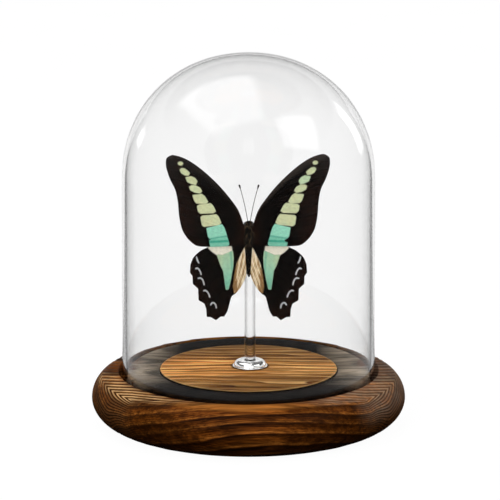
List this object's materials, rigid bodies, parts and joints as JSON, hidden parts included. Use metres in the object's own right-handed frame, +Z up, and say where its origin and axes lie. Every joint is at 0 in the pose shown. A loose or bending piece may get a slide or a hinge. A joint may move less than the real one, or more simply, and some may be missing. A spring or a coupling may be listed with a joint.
{
  "type": "insect in glass dome",
  "caption": "Dried swallowtail butterfly with spread wings, held on a clear rod with a metal foot, under a glass dome standing in the groove of a round turned softwood base.",
  "frame": {"origin": "centre of the wooden base's flat underside", "axes": "+Z up through the dome's top, the butterfly's upper side faces -Y and its left wings are on -X"},
  "size_m": [0.124, 0.124, 0.1492],
  "materials": {
    "stained_pine": "satin",
    "black_stain": "satin",
    "golden_pine": "satin",
    "dome_glass": "gloss",
    "rod_glass": "gloss",
    "polished_metal": "polished",
    "body_fur": "matte",
    "wing_scales": "matte",
    "antenna_horn": "satin"
  },
  "bodies": {
    "root": {"wood_base": "stained_pine", "black_ring": "black_stain", "centre_disc": "golden_pine", "glass_dome": "dome_glass", "glass_rod": "rod_glass", "rod_foot": "polished_metal", "butterfly_body": "body_fur", "forewing_left": "wing_scales", "forewing_right": "wing_scales", "hindwing_left": "wing_scales", "hindwing_right": "wing_scales", "antenna_left": "antenna_horn", "antenna_right": "antenna_horn"}
  },
  "joints": []
}
